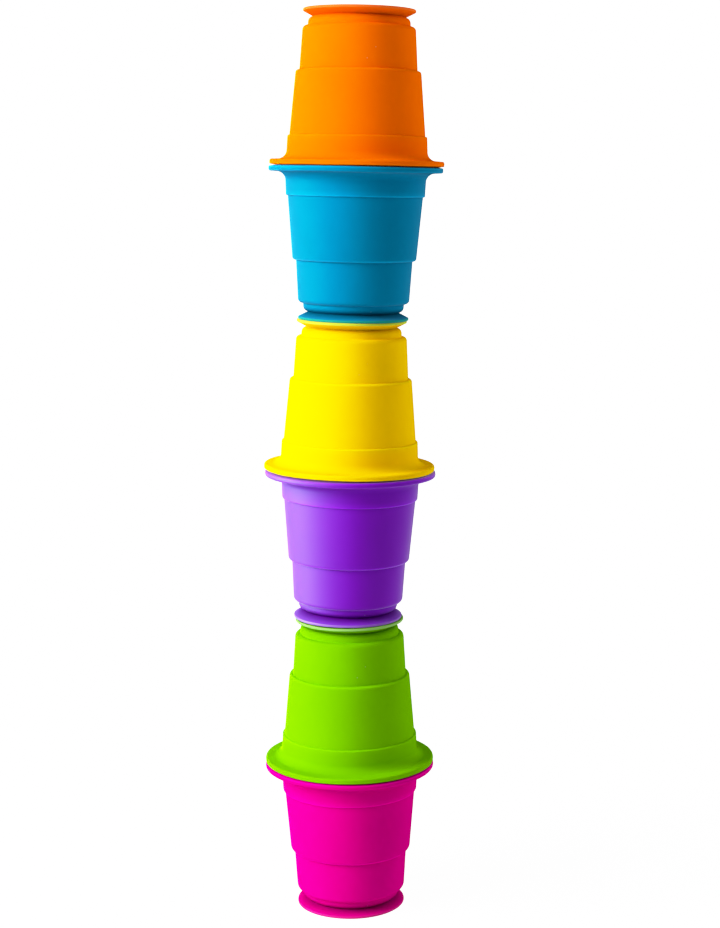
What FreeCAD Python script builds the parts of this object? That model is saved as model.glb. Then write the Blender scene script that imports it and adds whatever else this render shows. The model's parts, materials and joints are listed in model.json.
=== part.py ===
import FreeCAD, Part
import math
import os

# Stacking cup tower: six cups of one size, moulded in soft silicone, stood rim to rim and foot to foot.
# Each cup is one moulding: a stepped bowl, a wide flat rim flange at its mouth, and a suction foot at its base.
# Units are millimetres. The origin is the centre of the foot that the tower stands on, and +Z is up.

# Driving dimensions
CUP_HEIGHT = 72.4        # from the foot's contact face to the rim's contact face
RIM_RADIUS = 41.25       # outside of the rim flange
WALL = 2.0               # thickness of the bowl's wall

# Wall bands from the foot up. Each starts with a shoulder at its own height.
# (shoulder height, radius at the bottom, radius at the top, rounding of the shoulder's edge)
BANDS = [
    (3.95, 23.9, 24.1, 2.4),
    (7.8, 26.5, 27.7, 2.0),
    (28.1, 29.4, 32.0, 1.4),
    (58.3, 32.9, 33.4, 0.6),
]
INSIDE_CORNER = 0.25     # rounding where a shoulder meets the band below it

# Suction foot: a thin flared lip below a narrow neck, hollowed into a shallow dome underneath
LIP_RADIUS = 26.4
LIP_THICKNESS = 1.15     # at its outer edge
LIP_EDGE_ROUNDING = 0.5
LAND_INNER_RADIUS = 24.6 # the flat ring that touches what the foot stands on
NECK_RADIUS = 21.3
NECK_HEIGHT = 3.75
NECK_ROUNDING = 0.1
DOME_DEPTH = 3.4

# Rim flange
FLANGE_THICKNESS = 3.15  # at the root, next to the bowl
FLANGE_SLOPE = 0.4       # how much thinner its underside makes it at the edge
FLANGE_FILLET = 4.2      # between its underside and the top band
FLANGE_EDGE_ROUNDING = 0.6
LAND_OUTER_RADIUS = 38.6 # outside this, the contact face falls away
LAND_RELIEF = 0.45       # by this much at the flange's edge
LAND_ROUNDING = 3.0
RELIEF_EDGE_ROUNDING = 0.4
MOUTH_ROUNDING = 1.1     # inner edge of the rim

# Inside of the bowl
FLOOR_HEIGHT = 6.5       # top of the bowl's floor
FLOOR_ROUNDING = 1.5
INNER_EDGE_ROUNDING = 0.45

# The tower from the bottom up. It is stacked by hand, so the upper four cups lean together and sit a little
# off each other's centres.
# (node name, whether the cup stands on its foot, lean towards +X in degrees, shift towards +X on the cup below)
TOWER = [
    ("magenta_cup", True, 0.0, 0.0),
    ("green_cup", False, 0.5, 0.0),
    ("purple_cup", True, 1.55, -0.8),
    ("yellow_cup", False, 1.55, -0.55),
    ("blue_cup", True, 1.55, 0.7),
    ("orange_cup", False, 1.55, 0.4),
]


def point(radius, height):
    """A point of the cup's outline, in the XZ plane."""
    return FreeCAD.Vector(radius, 0, height)


def rounded_outline(corners):
    """Edges along corners of (radius, height, rounding), with an arc at each corner that has a rounding."""
    edges = []
    start = point(*corners[0][:2])
    for before, corner, after in zip(corners, corners[1:], corners[2:]):
        here = point(*corner[:2])
        back = (point(*before[:2]) - here).normalize()
        forward = (point(*after[:2]) - here).normalize()
        half_angle = back.getAngle(forward) / 2
        rounding = corner[2]
        reach = rounding / math.tan(half_angle)
        arc_start = here + back * reach
        arc_end = here + forward * reach
        if (arc_start - start).dot(back) > 0:
            raise ValueError(f"the roundings on both sides of the edge that ends at {corner} overlap")
        edges.append(Part.makeLine(start, arc_start))
        if rounding > 0:
            inward = (back + forward).normalize()
            centre = here + inward * (rounding / math.sin(half_angle))
            arc_middle = centre - inward * rounding
            edges.append(Part.Arc(arc_start, arc_middle, arc_end).toShape())
        start = arc_end
    edges.append(Part.makeLine(start, point(*corners[-1][:2])))
    return edges


def foot_corners():
    """Outside of the suction foot, from the inner edge of its contact ring to its neck."""
    return [
        (LAND_INNER_RADIUS, 0, 0),
        (LIP_RADIUS, 0, LIP_EDGE_ROUNDING),
        (LIP_RADIUS, LIP_THICKNESS, LIP_EDGE_ROUNDING),
        (NECK_RADIUS, NECK_HEIGHT, NECK_ROUNDING),
    ]


def outer_wall_corners():
    """Outside of the bowl: every shoulder, and every inside corner under the next shoulder."""
    corners = []
    for (shoulder, bottom_radius, top_radius, rounding), above in zip(BANDS, BANDS[1:] + [None]):
        corners.append((bottom_radius, shoulder, rounding))
        if above:
            corners.append((top_radius, above[0], INSIDE_CORNER))
    return corners


def flange_corners():
    """Rim flange, from its root on the top band round its edge to the mouth of the bowl."""
    root_radius = BANDS[-1][2]
    underside = CUP_HEIGHT - FLANGE_THICKNESS
    return [
        (root_radius, underside, FLANGE_FILLET),
        (RIM_RADIUS, underside + FLANGE_SLOPE, FLANGE_EDGE_ROUNDING),
        (RIM_RADIUS, CUP_HEIGHT - LAND_RELIEF, RELIEF_EDGE_ROUNDING),
        (LAND_OUTER_RADIUS, CUP_HEIGHT, LAND_ROUNDING),
        (root_radius - WALL, CUP_HEIGHT, MOUTH_ROUNDING),
    ]


def inner_wall_corners():
    """Inside of the bowl from the top band down: one wall thickness inside each band, then the floor."""
    corners = []
    for above, below in zip(BANDS[:0:-1], BANDS[-2::-1]):
        shelf = above[0] + WALL
        if below is BANDS[0]:
            shelf = max(shelf, FLOOR_HEIGHT)
        corners.append((above[1] - WALL, shelf, INNER_EDGE_ROUNDING))
        corners.append((below[2] - WALL, shelf, INNER_EDGE_ROUNDING))
    corners.append((BANDS[0][1] - WALL, FLOOR_HEIGHT, FLOOR_ROUNDING))
    corners.append((0, FLOOR_HEIGHT, 0))
    return corners


def dome_edge():
    """Arc of the hollow under the foot, from its centre out to the contact ring."""
    sphere_radius = (LAND_INNER_RADIUS**2 + DOME_DEPTH**2) / (2 * DOME_DEPTH)
    middle_radius = LAND_INNER_RADIUS / 2
    drop = sphere_radius - math.sqrt(sphere_radius**2 - middle_radius**2)
    middle = point(middle_radius, DOME_DEPTH - drop)
    return Part.Arc(point(0, DOME_DEPTH), middle, point(LAND_INNER_RADIUS, 0)).toShape()


def cup():
    """One cup standing on its foot, with the centre of its contact face at the origin."""
    corners = foot_corners() + outer_wall_corners() + flange_corners() + inner_wall_corners()
    edges = rounded_outline(corners)
    edges.append(Part.makeLine(point(0, FLOOR_HEIGHT), point(0, DOME_DEPTH)))
    edges.append(dome_edge())
    face = Part.Face(Part.Wire(edges))
    return face.revolve(FreeCAD.Vector(0, 0, 0), FreeCAD.Vector(0, 0, 1), 360)


def leaning(lean):
    """Rotation that tips the +Z axis towards +X by lean degrees."""
    return FreeCAD.Rotation(FreeCAD.Vector(0, 1, 0), lean)


def tower_placements():
    """For each cup, the centre of its lower contact face and its rotation.

    A cup is first shifted along the contact face of the one below. If it leans more than that one, it then
    pivots on the +X edge of its contact ring, and if it leans less, on the -X edge, so neighbours touch there
    and never overlap.
    """
    centre = FreeCAD.Vector(0, 0, 0)
    lean_below = TOWER[0][2]
    placements = []
    for name, upright, lean, shift in TOWER:
        contact_radius = LIP_RADIUS if upright else LAND_OUTER_RADIUS
        side = (lean > lean_below) - (lean < lean_below)
        pivot = FreeCAD.Vector(side * contact_radius, 0, 0)
        offset = FreeCAD.Vector(shift, 0, 0)
        centre = centre + leaning(lean_below).multVec(offset + pivot) - leaning(lean).multVec(pivot)
        placements.append((name, upright, FreeCAD.Placement(centre, leaning(lean))))
        centre = centre + leaning(lean).multVec(FreeCAD.Vector(0, 0, CUP_HEIGHT))
        lean_below = lean
    return placements


def main():
    os.makedirs("parts", exist_ok=True)
    upside_down = FreeCAD.Placement(
        FreeCAD.Vector(0, 0, CUP_HEIGHT), FreeCAD.Rotation(FreeCAD.Vector(1, 0, 0), 180)
    )
    for name, upright, placement in tower_placements():
        solid = cup()
        if not upright:
            solid.Placement = upside_down
        solid.Placement = placement.multiply(solid.Placement)
        solid.exportStep(f"parts/{name}.step")
        print(name, "volume", round(solid.Volume), "valid", solid.isValid(), solid.ShapeType)


main()
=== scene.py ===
import json
import math

import bpy
import numpy as np
from mathutils import Matrix, Vector

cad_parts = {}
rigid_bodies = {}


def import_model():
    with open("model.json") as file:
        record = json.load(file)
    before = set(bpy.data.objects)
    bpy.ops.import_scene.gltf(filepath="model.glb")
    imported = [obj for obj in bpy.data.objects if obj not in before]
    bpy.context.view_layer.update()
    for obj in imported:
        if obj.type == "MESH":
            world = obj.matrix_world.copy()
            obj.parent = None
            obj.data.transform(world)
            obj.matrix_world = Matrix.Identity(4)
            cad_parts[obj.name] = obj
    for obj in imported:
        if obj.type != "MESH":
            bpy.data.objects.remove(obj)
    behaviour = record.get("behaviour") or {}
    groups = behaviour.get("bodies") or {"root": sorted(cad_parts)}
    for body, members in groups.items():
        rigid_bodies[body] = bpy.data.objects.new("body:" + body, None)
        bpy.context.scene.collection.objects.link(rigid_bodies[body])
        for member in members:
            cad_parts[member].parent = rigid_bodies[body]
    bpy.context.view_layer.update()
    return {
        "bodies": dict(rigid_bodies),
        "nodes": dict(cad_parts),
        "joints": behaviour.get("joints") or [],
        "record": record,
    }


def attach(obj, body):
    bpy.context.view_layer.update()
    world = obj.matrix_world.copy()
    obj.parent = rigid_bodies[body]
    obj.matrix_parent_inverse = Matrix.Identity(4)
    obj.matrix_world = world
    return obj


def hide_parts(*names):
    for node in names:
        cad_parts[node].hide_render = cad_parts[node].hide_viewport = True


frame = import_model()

# The looks of the stacking cup tower: one smooth silicone moulding for each cup, riding on that cup's body.
# A cup is drawn in its own frame, in millimetres: the foot's contact face is at 0 and the mouth is above it.
MM = 0.001

# ---------------------------------------------------------------- the cup's outline

WALL = 2.0
# Wall bands from the foot up: (shoulder height, radius at the bottom, radius at the top, shoulder's rounding)
BANDS = [
    (3.95, 23.9, 24.1, 2.4),
    (7.8, 26.5, 27.7, 2.0),
    (28.1, 29.4, 32.0, 1.4),
    (58.3, 32.9, 33.4, 0.6),
]
INSIDE_CORNER = 0.25     # rounding where a shoulder meets the band below it

# Suction foot
LIP_RADIUS = 26.4
LIP_THICKNESS = 1.15
LIP_EDGE_ROUNDING = 0.5
LAND_INNER_RADIUS = 24.6
NECK_RADIUS = 21.3
NECK_HEIGHT = 3.75
NECK_ROUNDING = 0.1
DOME_DEPTH = 3.4

# Rim flange
FLANGE_THICKNESS = 3.15
FLANGE_SLOPE = 0.4       # how much thinner its underside makes it at the edge
FLANGE_FILLET = 4.2
FLANGE_EDGE_ROUNDING = 0.9
LAND_OUTER_RADIUS = 38.6
LAND_RELIEF = 0.45       # how far the contact face falls away at the flange's edge
LAND_ROUNDING = 3.0
RELIEF_EDGE_ROUNDING = 0.4
MOUTH_ROUNDING = 1.1
FLASH = 0.08             # how far the mould's parting line stands out from the flange's edge
FLASH_HALF_WIDTH = 0.12

# Inside of the bowl
FLOOR_HEIGHT = 6.5
FLOOR_ROUNDING = 1.5
INNER_EDGE_ROUNDING = 0.45

# ---------------------------------------------------------------- mesh density

COLUMNS = 160            # round the cup
LONGEST_ROW = 3.0        # on a straight stretch of the outline
ARC_STEP = 0.5           # along a rounding
FEWEST_ARC_STEPS = 4
SUPPORT = 0.18           # rows this close to a rounding keep the flat beside it flat
SHORTEST_SUPPORTED = 3 * SUPPORT    # shorter straight stretches have no such rows
DOME_ROWS = 14
POLE_RADIUS = 1.2        # innermost ring round the centre of the floor and of the dome

# ---------------------------------------------------------------- how far a soft cup strays from its outline

OVALNESS = 0.10          # of the bowl's wall, in and out
LIP_WAVE = 0.10          # of the foot lip's edge, in and out
RIM_WAVE = 0.08          # of the flange's free edge, up and down
# The waves that each of these is made of: (share, number round the cup, multiple of the cup's phase)
OVAL_WAVES = [(1.0, 2, 1)]
LIP_WAVES = [(0.6, 2, -1), (0.4, 5, 2)]
RIM_WAVES = [(0.6, 3, 1), (0.4, 7, -1)]
PHASE_STEP = 1.3         # from one cup to the next, so that no two are bent alike

# How far a free edge bends towards the neighbour it touches, in mm on the (-X, +X) sides; negative is away
LIP_FLEX = {"purple_cup": (0.5, 0.0), "green_cup": (-0.45, 0.0)}
RIM_FLEX = {"magenta_cup": (0.25, 0.0), "green_cup": (0.25, 0.0), "purple_cup": (-0.6, 0.0)}
LIP_FLEX_ROOT = 0.55     # a lip bends from this share of its radius outwards
RIM_FLEX_WIDTH = 5.0     # a rim bends from this far inside its land's outer radius

# ---------------------------------------------------------------- painted light and shade: where a cup's colour is made lighter or darker

FULL_SHARE = 0.4         # a mark has its full strength within this share of its reach

# Painted light: free lips are painted paler, for light that shines through the thin silicone, most where a
# neighbour strains them
PAINTED_LIP_LIGHT_REACH = 0.9
PAINTED_LIP_WHITE = 0.12
PAINTED_LIP_PALENESS = {"green_cup": 1.0, "purple_cup": 0.9, "yellow_cup": 0.8, "blue_cup": 0.6}
LEAST_PAINTED_LIP_PALENESS = 0.15
# Painted light: where the thin blue and yellow lips touch, both are painted greenish, for each one's colour
# shining through the other
PAINTED_LIP_TINTS = {"yellow_cup": (0.45, 0.62, 0.05), "blue_cup": (0.02, 0.32, 0.14)}

# Painted highlight: ridges are painted brighter, where they catch the light, and less so on an upside-down
# cup
PAINTED_HIGHLIGHT_REACH = 0.8
PAINTED_HIGHLIGHT_GAIN = 1.9
BRIGHTEST_PAINTED_HIGHLIGHT = 0.95         # limit of a ridge's colour
FLANGE_PAINTED_HIGHLIGHT = 0.5
SHOULDER_PAINTED_HIGHLIGHT = 0.8
UPSIDE_DOWN_PAINTED_HIGHLIGHT = 0.3

# Painted shade: the notches at the neck and under the shoulders are painted darker, where shade falls
PAINTED_NOTCH_SHADE = 0.6
NECK_PAINTED_SHADE_REACH = 4.4
SHOULDER_PAINTED_SHADE_REACH = 0.5
SHOULDER_PAINTED_SHADE = 0.2
UPSIDE_DOWN_PAINTED_SHADE = 0.4

# ---------------------------------------------------------------- silicone

# Linear base colour of each cup's silicone, and the tint of the bloom where light skims it
SILICONES = {
    "magenta_cup": ((0.632, 0.0, 0.224), (0.0, 0.0, 0.0)),
    "green_cup": ((0.15, 0.444, 0.0), (0.0, 0.0, 0.0)),
    "purple_cup": ((0.176, 0.0, 0.455), (0.44, 0.72, 0.95)),
    "yellow_cup": ((0.88, 0.54, 0.0), (0.0, 0.0, 0.0)),
    "blue_cup": ((0.0, 0.19, 0.36), (0.0, 0.12, 0.0)),
    "orange_cup": ((0.92, 0.142, 0.0), (0.0, 0.0, 0.0)),
}
# The matt body
BODY = {
    "Roughness": 0.6,
    "Specular IOR Level": 0.0,
    "Subsurface Weight": 0.12,
    "Subsurface Radius": (1.0, 0.7, 0.5),
    "Subsurface Scale": 0.0015,
    "Sheen Roughness": 0.35,
}
# The satin highlight has the silicone's own colour and shows only where light skims it
SKIM_IOR = 1.03
SATIN_ROUGHNESS = (0.42, 0.5)
BLOOM_SHEEN = 1.3
BLOOM_HIGHLIGHT = 0.012
BLOOM_ROUGHNESS = 0.6

# Noises: (cells per metre, detail)
BLOTCHES = (38.0, 3.0)
# This noise only breaks up the painted highlight on the ridges
RIDGE_HIGHLIGHT_BREAKUP = (90.0, 3.0)
DUST_PATCHES = (22.0, 2.0)
GRAIN = (2600.0, 2.0)
NOISE_ROUGHNESS = 0.55
NOISE_SPAN = (0.3, 0.7)  # values that most of a noise lies between
BLOTCH_SHADES = (0.97, 1.03)
# Strengths of the painted ridge highlight along that noise
RIDGE_HIGHLIGHT_BREAKUP_SHADES = (0.7, 1.0)
SATIN_SPAN = (0.35, 0.65)           # noise values over which the satin's roughness changes
GRAIN_STRENGTH = 0.12
GRAIN_HEIGHT = 0.00006   # metres
DUST_COLOUR = (0.8, 0.78, 0.74)
DUST_CELLS = 160.0       # per metre, with at most one speck each
DUST_SPECK = (0.035, 0.075)         # where a speck starts to fade and where it ends, in cells from its centre
DUST_STRENGTH = 0.4
DUST_PATCH_SPAN = (0.56, 0.66)      # noise values where the patches of dust fade in

# ---------------------------------------------------------------- studio

# Shoulder of the picture's tones, as film has: (scene value, shown value). The last is the backdrop's white.
TONES = [(0.0, 0.0), (0.35, 0.35), (0.7, 0.7), (1.0, 0.9), (1.4, 1.0)]
WHITE = TONES[-1][0]
COMBINED_CURVE = 3       # the tone curve for all channels, after those for red, green and blue

FLOOR_HALF_SIZE = 30.0
FLOOR_ROUGHNESS = 0.9
# The floor that the camera sees, and the floor that lights the cups: (grey, glow)
FLOOR_SEEN = (0.08, 0.93 * WHITE)
FLOOR_LIT = (0.42, 0.35)
FLOOR_SHADOW_REACH = (0.12, 0.45)   # its shadows fade out between these distances from the tower
WORLD_LIGHT = 0.285

# Square area lights: (name, azimuth, elevation, power, whether it makes only highlights or none)
# Azimuth is measured from the camera's side and negative to its left.
LIGHTS = [
    ("key", -66.0, 25.0, 53.0, False),
    ("right_fill", 112.0, 15.0, 14.0, False),
    ("left_strip", -93.0, 15.0, 800.0, True),
]
LIGHT_SIZE = 1.0
LIGHT_DISTANCE = 1.6
AIM_HEIGHT = 0.22

CAMERA_PLACE = (0.0065, -0.9086, 0.3578)
CAMERA_PITCH = 8.60      # degrees down
CAMERA_ROLL = -0.52
CAMERA_LENS = 73.70
CAMERA_SENSOR = 36.0     # millimetres, as is the lens


# ---------------------------------------------------------------- building a cup's mesh

def cup_corners(height, rim_radius):
    """Corners (radius, height, rounding) of the section, from the contact ring to the floor's centre."""
    corners = [
        (LAND_INNER_RADIUS, 0, 0),
        (LIP_RADIUS, 0, LIP_EDGE_ROUNDING),
        (LIP_RADIUS, LIP_THICKNESS, LIP_EDGE_ROUNDING),
        (NECK_RADIUS, NECK_HEIGHT, NECK_ROUNDING),
    ]
    for (shoulder, bottom_radius, top_radius, rounding), above in zip(BANDS, BANDS[1:] + [None]):
        corners.append((bottom_radius, shoulder, rounding))
        if above:
            corners.append((top_radius, above[0], INSIDE_CORNER))
    root_radius = BANDS[-1][2]
    underside = height - FLANGE_THICKNESS
    edge_middle = (underside + FLANGE_SLOPE + height - LAND_RELIEF) / 2
    corners += [
        (root_radius, underside, FLANGE_FILLET),
        (rim_radius, underside + FLANGE_SLOPE, FLANGE_EDGE_ROUNDING),
        (rim_radius, edge_middle - FLASH_HALF_WIDTH, 0),
        (rim_radius + FLASH, edge_middle, 0),
        (rim_radius, edge_middle + FLASH_HALF_WIDTH, 0),
        (rim_radius, height - LAND_RELIEF, RELIEF_EDGE_ROUNDING),
        (LAND_OUTER_RADIUS, height, LAND_ROUNDING),
        (root_radius - WALL, height, MOUTH_ROUNDING),
    ]
    for above, below in zip(BANDS[:0:-1], BANDS[-2::-1]):
        shelf = above[0] + WALL
        if below is BANDS[0]:
            shelf = max(shelf, FLOOR_HEIGHT)
        corners.append((above[1] - WALL, shelf, INNER_EDGE_ROUNDING))
        corners.append((below[2] - WALL, shelf, INNER_EDGE_ROUNDING))
    corners.append((BANDS[0][1] - WALL, FLOOR_HEIGHT, FLOOR_ROUNDING))
    corners.append((POLE_RADIUS, FLOOR_HEIGHT, 0))
    return corners


def straight_rows(start, end):
    """Points from start up to but not including end, with a support row close to each end."""
    length = (end - start).length
    if length < SHORTEST_SUPPORTED:
        return [start]
    shares = [0, SUPPORT / length]
    steps = max(1, math.ceil((length - 2 * SUPPORT) / LONGEST_ROW))
    shares += [(SUPPORT + (length - 2 * SUPPORT) * i / steps) / length for i in range(1, steps)]
    shares.append(1 - SUPPORT / length)
    return [start.lerp(end, share) for share in shares]


def arc_rows(centre, arc_start, arc_end, rounding, turn):
    """Points along a rounding, up to but not including its end."""
    first = arc_start - centre
    sign = 1 if first.cross(arc_end - centre) > 0 else -1
    steps = max(FEWEST_ARC_STEPS, math.ceil(turn * rounding / ARC_STEP))
    return [centre + Matrix.Rotation(sign * turn * i / steps, 2) @ first for i in range(steps)]


def rounded_rows(corners):
    """Points along the corners, with an arc of rows at each corner that has a rounding."""
    rows = []
    start = Vector(corners[0][:2])
    for before, corner, after in zip(corners, corners[1:], corners[2:]):
        here = Vector(corner[:2])
        back = (Vector(before[:2]) - here).normalized()
        forward = (Vector(after[:2]) - here).normalized()
        half_angle = back.angle(forward) / 2
        rounding = corner[2]
        reach = rounding / math.tan(half_angle)
        arc_start = here + back * reach
        arc_end = here + forward * reach
        rows += straight_rows(start, arc_start)
        if rounding > 0:
            centre = here + (back + forward).normalized() * (rounding / math.sin(half_angle))
            rows += arc_rows(centre, arc_start, arc_end, rounding, math.pi - 2 * half_angle)
        start = arc_end
    end = Vector(corners[-1][:2])
    return rows + straight_rows(start, end) + [end]


def dome_rows():
    """The hollow under the foot, from its innermost ring out to the contact ring."""
    sphere_radius = (LAND_INNER_RADIUS**2 + DOME_DEPTH**2) / (2 * DOME_DEPTH)
    rows = []
    for i in range(DOME_ROWS):
        radius = POLE_RADIUS + (LAND_INNER_RADIUS - POLE_RADIUS) * i / DOME_ROWS
        drop = sphere_radius - math.sqrt(sphere_radius**2 - radius**2)
        rows.append(Vector((radius, DOME_DEPTH - drop)))
    return rows


def smooth(low, high, values):
    """0 below low, 1 above high, and a smooth step between."""
    t = np.clip((values - low) / (high - low), 0, 1)
    return t * t * (3 - 2 * t)


def waves(parts, angle, phase):
    """The sum of the waves round a cup."""
    return sum(share * np.cos(count * angle + multiple * phase) for share, count, multiple in parts)


def softened(radius, z, angle, height, rim_radius, phase, lip_flex, rim_flex):
    """Radius and height of each vertex after the small distortions that a soft moulding has."""
    wall = smooth(NECK_HEIGHT, height / 2, z)
    foot = 1 - smooth(NECK_HEIGHT / 2, NECK_HEIGHT, z)
    lip = smooth(NECK_RADIUS, LIP_RADIUS, radius) * foot
    lip_free = smooth(LIP_FLEX_ROOT * LIP_RADIUS, LIP_RADIUS, radius) * foot
    rim_free = smooth(LAND_OUTER_RADIUS - RIM_FLEX_WIDTH, rim_radius, radius)
    left, right = (1 - np.cos(angle)) / 2, (1 + np.cos(angle)) / 2
    radius = radius + OVALNESS * wall * waves(OVAL_WAVES, angle, phase)
    radius = radius + LIP_WAVE * lip * waves(LIP_WAVES, angle, phase)
    z = z + RIM_WAVE * rim_free * waves(RIM_WAVES, angle, phase)
    z = z + rim_free * (rim_flex[0] * left + rim_flex[1] * right)
    z = z - lip_free * (lip_flex[0] * left + lip_flex[1] * right)
    return radius, z


def nearness(outline, marks):
    """For each row, the strength of the mark it is on, or less, down to 0 at the mark's reach.

    Marks are (radius, height, reach, strength).
    """
    amounts = np.zeros(len(outline))
    for radius, z, reach, strength in marks:
        away = np.hypot(outline[:, 0] - radius, outline[:, 1] - z)
        amounts = np.maximum(amounts, strength * (1 - smooth(FULL_SHARE * reach, reach, away)))
    return amounts


def painted_highlight_marks(height, rim_radius):
    """Where highlights are painted: the flange's two edges and the shoulders of the upper bands."""
    marks = [
        (rim_radius, height - LAND_RELIEF, PAINTED_HIGHLIGHT_REACH, FLANGE_PAINTED_HIGHLIGHT),
        (rim_radius, height - FLANGE_THICKNESS + FLANGE_SLOPE, PAINTED_HIGHLIGHT_REACH, FLANGE_PAINTED_HIGHLIGHT / 2),
    ]
    for shoulder, bottom_radius, _, rounding in BANDS[2:]:
        inset = (1 - math.sqrt(0.5)) * rounding   # of the middle of the rounding, from the sharp corner
        marks.append((bottom_radius - inset, shoulder + inset, PAINTED_HIGHLIGHT_REACH, SHOULDER_PAINTED_HIGHLIGHT))
    return marks


def painted_shade_marks():
    """Where shade is painted: the neck and, weaker, the corners under the shoulders."""
    marks = [(NECK_RADIUS, NECK_HEIGHT, NECK_PAINTED_SHADE_REACH, 1.0)]
    for (_, _, top_radius, _), above in zip(BANDS[1:], BANDS[2:]):
        marks.append((top_radius, above[0], SHOULDER_PAINTED_SHADE_REACH, SHOULDER_PAINTED_SHADE))
    return marks


def cup_faces(rows):
    """Faces over all rings of vertices, with a fan to the pole of the dome and to the pole of the floor."""
    faces = []
    dome_pole, floor_pole = rows * COLUMNS, rows * COLUMNS + 1
    last = (rows - 1) * COLUMNS
    for row in range(rows - 1):
        low, high = row * COLUMNS, (row + 1) * COLUMNS
        for column in range(COLUMNS):
            beside = (column + 1) % COLUMNS
            faces.append((low + column, low + beside, high + beside, high + column))
    for column in range(COLUMNS):
        beside = (column + 1) % COLUMNS
        faces.append((dome_pole, beside, column))
        faces.append((floor_pole, last + column, last + beside))
    return faces


def cup_mesh(node, height, rim_radius, upright, phase):
    """A closed mesh of one cup in its own frame, in metres, with the attributes of its painted lip light,
    painted ridge highlights and painted notch shade.
    """
    rows = dome_rows() + rounded_rows(cup_corners(height, rim_radius))
    outline = np.array([tuple(row) for row in rows])
    angle = np.arange(COLUMNS) * (2 * math.pi / COLUMNS)
    radius, angle = np.meshgrid(outline[:, 0], angle, indexing="ij")
    z = np.repeat(outline[:, 1:], COLUMNS, axis=1)
    flexes = LIP_FLEX.get(node, (0, 0)), RIM_FLEX.get(node, (0, 0))
    radius, z = softened(radius, z, angle, height, rim_radius, phase, *flexes)
    rings = np.stack([radius * np.cos(angle), radius * np.sin(angle), z], axis=2).reshape(-1, 3)
    poles = np.array([(0, 0, DOME_DEPTH), (0, 0, FLOOR_HEIGHT)])
    points = np.concatenate([rings, poles]) * MM

    mesh = bpy.data.meshes.new(node + "_skin")
    mesh.from_pydata(points.tolist(), [], cup_faces(len(rows)))
    mesh.shade_smooth()
    # Masks of painted light and shade: the paler lip, the brighter ridges and the darker notches
    painted_lip_mark = (LIP_RADIUS, LIP_THICKNESS / 2, PAINTED_LIP_LIGHT_REACH, PAINTED_LIP_PALENESS.get(node, LEAST_PAINTED_LIP_PALENESS))
    painted_marks = {
        "lip": nearness(outline, [painted_lip_mark]),
        "painted_highlight": nearness(outline, painted_highlight_marks(height, rim_radius)) * (1 if upright else UPSIDE_DOWN_PAINTED_HIGHLIGHT),
        "painted_shade": nearness(outline, painted_shade_marks()) * (1 if upright else UPSIDE_DOWN_PAINTED_SHADE),
    }
    for kind, amounts in painted_marks.items():
        values = np.concatenate([np.repeat(amounts, COLUMNS), np.zeros(len(poles))])
        mesh.attributes.new(kind, "FLOAT", "POINT").data.foreach_set("value", values)
    return mesh


# ---------------------------------------------------------------- reading the cups from the frame

def points_of(node):
    """The CAD vertices of a node, as rows of x, y and z in metres."""
    vertices = frame["nodes"][node].data.vertices
    coordinates = np.zeros(len(vertices) * 3)
    vertices.foreach_get("co", coordinates)
    return coordinates.reshape(-1, 3)


def cup_axes():
    """The axis of every cup's body: its lift's axis, or straight up for the cup that stands on the table."""
    axes = {body: Vector((0, 0, 1)) for body in frame["bodies"]}
    for joint in frame["joints"]:
        axes[joint["child"]] = Vector(joint["axis"]).normalized()
    return axes


def cup_place(node, axis):
    """How a cup stands: (matrix from its own frame, height and rim radius in mm, whether it is upright)."""
    turn = Vector((0, 0, 1)).rotation_difference(axis).to_matrix()
    points = points_of(node) @ np.array(turn)
    low, high = points.min(axis=0), points.max(axis=0)
    centre = (low + high) / 2
    radii = np.hypot(points[:, 0] - centre[0], points[:, 1] - centre[1])
    widest = radii.argmax()
    upright = points[widest, 2] > centre[2]
    foot = Vector((centre[0], centre[1], low[2] if upright else high[2]))
    flip = Matrix.Identity(3) if upright else Matrix.Rotation(math.pi, 3, "X")
    matrix = Matrix.Translation(turn @ foot) @ (turn @ flip).to_4x4()
    return matrix, (high[2] - low[2]) / MM, radii[widest] / MM, upright


# ---------------------------------------------------------------- node helpers

def node_tree(owner):
    owner.use_nodes = True
    owner.node_tree.nodes.clear()
    return owner.node_tree


def add_node(tree, kind, settings):
    """A node of one kind with its inputs set by name. A setting that is a node's output is linked."""
    node = tree.nodes.new("ShaderNode" + kind)
    for key, value in settings.items():
        if isinstance(value, bpy.types.NodeSocket):
            tree.links.new(value, node.inputs[key])
        else:
            node.inputs[key].default_value = value
    return node


def remapped(tree, value, low, high, to_low, to_high):
    """A value mapped from low..high to to_low..to_high, and clamped."""
    span = {"Value": value, "From Min": low, "From Max": high, "To Min": to_low, "To Max": to_high}
    return add_node(tree, "MapRange", span).outputs["Result"]


def product(tree, first, second):
    node = add_node(tree, "Math", {0: first, 1: second})
    node.operation = "MULTIPLY"
    return node.outputs["Value"]


def scaled(tree, colour, amount):
    """A plain colour scaled by an output."""
    node = add_node(tree, "VectorMath", {0: colour})
    node.operation = "SCALE"
    tree.links.new(amount, node.inputs["Scale"])
    return node.outputs["Vector"]


def mixed(tree, amount, first, second):
    """A colour mixed from first, a colour output, to second, a plain colour."""
    node = tree.nodes.new("ShaderNodeMix")
    node.data_type = "RGBA"
    node.inputs["B"].default_value = (*second, 1)
    tree.links.new(amount, node.inputs["Factor"])
    tree.links.new(first, node.inputs["A"])
    return node.outputs["Result"]


def mixed_shader(tree, amount, first, second):
    """A shader mixed from first, at amount 0, to second, at amount 1."""
    return add_node(tree, "MixShader", {"Fac": amount, 1: first, 2: second}).outputs["Shader"]


def noise(tree, place, scale, detail):
    settings = {"Vector": place, "Scale": scale, "Detail": detail, "Roughness": NOISE_ROUGHNESS}
    return add_node(tree, "TexNoise", settings).outputs["Fac"]


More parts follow.
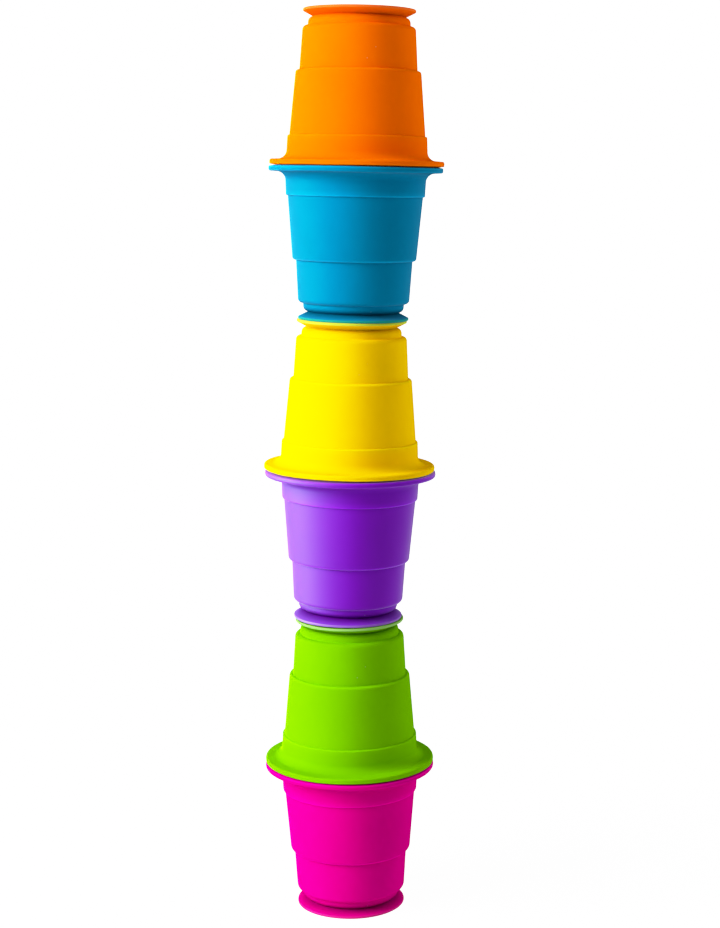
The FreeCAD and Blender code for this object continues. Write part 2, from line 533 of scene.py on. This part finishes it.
def attribute(tree, name):
    node = tree.nodes.new("ShaderNodeAttribute")
    node.attribute_name = name
    return node.outputs["Fac"]


def grey(level):
    return (level, level, level, 1)


# ---------------------------------------------------------------- the silicone

def dust_amount(tree, place):
    """Specks of dust that cling to silicone, sparse and in patches."""
    cells = add_node(tree, "TexVoronoi", {"Vector": place, "Scale": DUST_CELLS, "Randomness": 1.0})
    specks = remapped(tree, cells.outputs["Distance"], *DUST_SPECK, DUST_STRENGTH, 0.0)
    patches = remapped(tree, noise(tree, place, *DUST_PATCHES), *DUST_PATCH_SPAN, 0.0, 1.0)
    return product(tree, specks, patches)


def silicone_colour(tree, place, blotch, colour, painted_lip_tint):
    """An even colour with painted highlights on the ridges, painted light on the lip, painted shade in the
    notches, and a little dust.
    """
    base = scaled(tree, colour, remapped(tree, blotch, *NOISE_SPAN, *BLOTCH_SHADES))
    # Painted highlight on the ridges, broken up by a noise
    highlight_breakup = remapped(tree, noise(tree, place, *RIDGE_HIGHLIGHT_BREAKUP), *NOISE_SPAN, *RIDGE_HIGHLIGHT_BREAKUP_SHADES)
    painted_highlight_colour = [min(BRIGHTEST_PAINTED_HIGHLIGHT, PAINTED_HIGHLIGHT_GAIN * channel) for channel in colour]
    base = mixed(tree, product(tree, attribute(tree, "painted_highlight"), highlight_breakup), base, painted_highlight_colour)
    # Painted light on the lip
    painted_lip_colour = painted_lip_tint or [PAINTED_LIP_WHITE + (1 - PAINTED_LIP_WHITE) * channel for channel in colour]
    base = mixed(tree, attribute(tree, "lip"), base, painted_lip_colour)
    # Painted shade in the notches
    painted_shade_colour = [(1 - PAINTED_NOTCH_SHADE) * channel for channel in colour]
    base = mixed(tree, attribute(tree, "painted_shade"), base, painted_shade_colour)
    return mixed(tree, dust_amount(tree, place), base, DUST_COLOUR)


def silicone(name, colour, bloom, painted_lip_tint):
    """Moulded silicone: a matt body, a satin highlight of its own colour, and a bloom outside the notches."""
    material = bpy.data.materials.new(name)
    tree = node_tree(material)
    place = tree.nodes.new("ShaderNodeTexCoord").outputs["Object"]
    blotch = noise(tree, place, *BLOTCHES)
    base = silicone_colour(tree, place, blotch, colour, painted_lip_tint)
    grain = {"Strength": GRAIN_STRENGTH, "Distance": GRAIN_HEIGHT, "Height": noise(tree, place, *GRAIN)}
    normal = add_node(tree, "Bump", grain).outputs["Normal"]
    # 1 outside the painted shade of the notches; the sheen and the bloom fade where that shade is painted
    outside_painted_shade = remapped(tree, attribute(tree, "painted_shade"), 0, 1, 1, 0)

    body = add_node(tree, "BsdfPrincipled", {
        **BODY,
        "Base Color": base,
        "Normal": normal,
        "Sheen Weight": remapped(tree, outside_painted_shade, 0, 1, 0, BLOOM_SHEEN * max(bloom)),
        "Sheen Tint": (*[(1 + channel) / 2 for channel in colour], 1),
    })
    satin = add_node(tree, "BsdfAnisotropic", {
        "Color": base,
        "Normal": normal,
        "Roughness": remapped(tree, blotch, *SATIN_SPAN, *SATIN_ROUGHNESS),
    })
    skim = add_node(tree, "Fresnel", {"IOR": SKIM_IOR, "Normal": normal})
    shader = mixed_shader(tree, skim.outputs["Fac"], body.outputs["BSDF"], satin.outputs["BSDF"])

    haze = add_node(tree, "BsdfAnisotropic", {
        "Color": scaled(tree, [BLOOM_HIGHLIGHT * channel for channel in bloom], outside_painted_shade),
        "Roughness": BLOOM_ROUGHNESS,
    })
    both = add_node(tree, "AddShader", {0: shader, 1: haze.outputs["BSDF"]})
    add_node(tree, "OutputMaterial", {"Surface": both.outputs["Shader"]})
    return material


def make_cups():
    axes = cup_axes()
    for index, (body, nodes) in enumerate(frame["record"]["behaviour"]["bodies"].items()):
        node = nodes[0]
        matrix, height, rim_radius, upright = cup_place(node, axes[body])
        mesh = cup_mesh(node, height, rim_radius, upright, PHASE_STEP * index)
        mesh.materials.append(silicone(node + "_silicone", *SILICONES[node], PAINTED_LIP_TINTS.get(node)))
        cup = bpy.data.objects.new(node + "_skin", mesh)
        bpy.context.scene.collection.objects.link(cup)
        cup.matrix_world = matrix
        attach(cup, body)
        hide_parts(node)


# ---------------------------------------------------------------- the studio

def paper(tree, shade, glow):
    """Matt paper that glows a little, so that shadows on it stay faint."""
    settings = {
        "Base Color": grey(shade),
        "Roughness": FLOOR_ROUGHNESS,
        "Specular IOR Level": 0.0,
        "Emission Color": grey(1),
        "Emission Strength": glow,
    }
    return add_node(tree, "BsdfPrincipled", settings).outputs["BSDF"]


def make_floor():
    """White paper: the camera sees it run without an edge into the white backdrop."""
    mesh = bpy.data.meshes.new("floor")
    half = FLOOR_HALF_SIZE
    corners = [(-half, -half, 0), (half, -half, 0), (half, half, 0), (-half, half, 0)]
    mesh.from_pydata(corners, [], [(0, 1, 2, 3)])
    floor = bpy.data.objects.new("floor", mesh)
    floor.visible_glossy = False
    bpy.context.scene.collection.objects.link(floor)

    material = bpy.data.materials.new("floor_paper")
    tree = node_tree(material)
    white = add_node(tree, "Emission", {"Color": grey(1), "Strength": WHITE})
    away = add_node(tree, "VectorMath", {0: tree.nodes.new("ShaderNodeTexCoord").outputs["Object"]})
    away.operation = "LENGTH"
    far = remapped(tree, away.outputs["Value"], *FLOOR_SHADOW_REACH, 0.0, 1.0)
    seen = mixed_shader(tree, far, paper(tree, *FLOOR_SEEN), white.outputs["Emission"])
    ray = tree.nodes.new("ShaderNodeLightPath")
    shader = mixed_shader(tree, ray.outputs["Is Camera Ray"], paper(tree, *FLOOR_LIT), seen)
    add_node(tree, "OutputMaterial", {"Surface": shader})
    mesh.materials.append(material)


def make_world():
    """Plain white to the camera, and dimmer as light."""
    world = bpy.data.worlds.new("studio")
    bpy.context.scene.world = world
    world.cycles_visibility.glossy = False
    tree = node_tree(world)
    lit = add_node(tree, "Background", {"Color": grey(1), "Strength": WORLD_LIGHT}).outputs["Background"]
    seen = add_node(tree, "Background", {"Color": grey(1), "Strength": WHITE}).outputs["Background"]
    ray = tree.nodes.new("ShaderNodeLightPath")
    shader = mixed_shader(tree, ray.outputs["Is Camera Ray"], lit, seen)
    add_node(tree, "OutputWorld", {"Surface": shader})


def make_lights():
    """Soft lights round the tower, each aimed at its middle."""
    for name, azimuth, elevation, power, highlight in LIGHTS:
        light = bpy.data.lights.new(name, "AREA")
        light.shape = "SQUARE"
        light.size = LIGHT_SIZE
        light.energy = power
        lamp = bpy.data.objects.new(name, light)
        lamp.visible_glossy = highlight
        lamp.visible_diffuse = not highlight
        bpy.context.scene.collection.objects.link(lamp)
        turn, lift = math.radians(azimuth), math.radians(elevation)
        away = Vector((math.sin(turn) * math.cos(lift), -math.cos(turn) * math.cos(lift), math.sin(lift)))
        lamp.location = Vector((0, 0, AIM_HEIGHT)) + away * LIGHT_DISTANCE
        lamp.rotation_euler = away.to_track_quat("Z", "Y").to_euler()


def make_camera():
    data = bpy.data.cameras.new("camera")
    data.lens = CAMERA_LENS
    data.sensor_width = CAMERA_SENSOR
    camera = bpy.data.objects.new("camera", data)
    bpy.context.scene.collection.objects.link(camera)
    tilt = Matrix.Rotation(math.radians(90 - CAMERA_PITCH), 4, "X")
    roll = Matrix.Rotation(math.radians(CAMERA_ROLL), 4, "Z")
    camera.matrix_world = Matrix.Translation(CAMERA_PLACE) @ tilt @ roll
    bpy.context.scene.camera = camera


def set_tones():
    """Standard colours with the shoulder of TONES."""
    view = bpy.context.scene.view_settings
    view.view_transform = "Standard"
    view.use_curve_mapping = True
    view.curve_mapping.clip_max_x = WHITE
    combined = view.curve_mapping.curves[COMBINED_CURVE]
    combined.points[1].location = TONES[-1]
    for scene_value, shown_value in TONES[1:-1]:
        combined.points.new(scene_value, shown_value)
    view.curve_mapping.update()


make_cups()
make_floor()
make_world()
make_lights()
make_camera()
set_tones()
